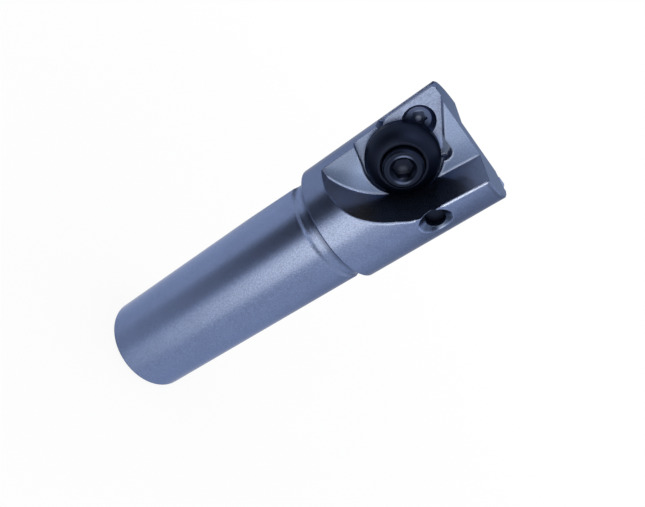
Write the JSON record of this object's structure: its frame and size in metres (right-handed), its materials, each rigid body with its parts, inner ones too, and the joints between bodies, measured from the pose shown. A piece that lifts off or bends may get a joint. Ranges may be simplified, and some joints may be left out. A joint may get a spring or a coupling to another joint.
{
  "type": "indexable face mill",
  "caption": "Indexable face mill: straight cylindrical shank with an inclined clamping flat, a wider head with chip gullets, triangular inserts held by clamp buttons.",
  "frame": {"origin": "centre of the flat end of the shank", "axes": "+Z along the tool axis from the shank to the cutting head; the first gullet opens towards -Y and its insert cuts at the -X side"},
  "size_m": [0.0284, 0.028, 0.1001],
  "materials": {
    "tool_steel": "satin",
    "carbide": "satin",
    "black_steel": "satin"
  },
  "bodies": {
    "root": {"cutter_body": "tool_steel", "insert_1": "carbide", "insert_2": "carbide", "insert_screw_1": "black_steel", "insert_screw_2": "black_steel", "clamp_button_1": "black_steel", "clamp_button_2": "black_steel", "clamp_screw_1": "black_steel", "clamp_screw_2": "black_steel"}
  },
  "joints": []
}
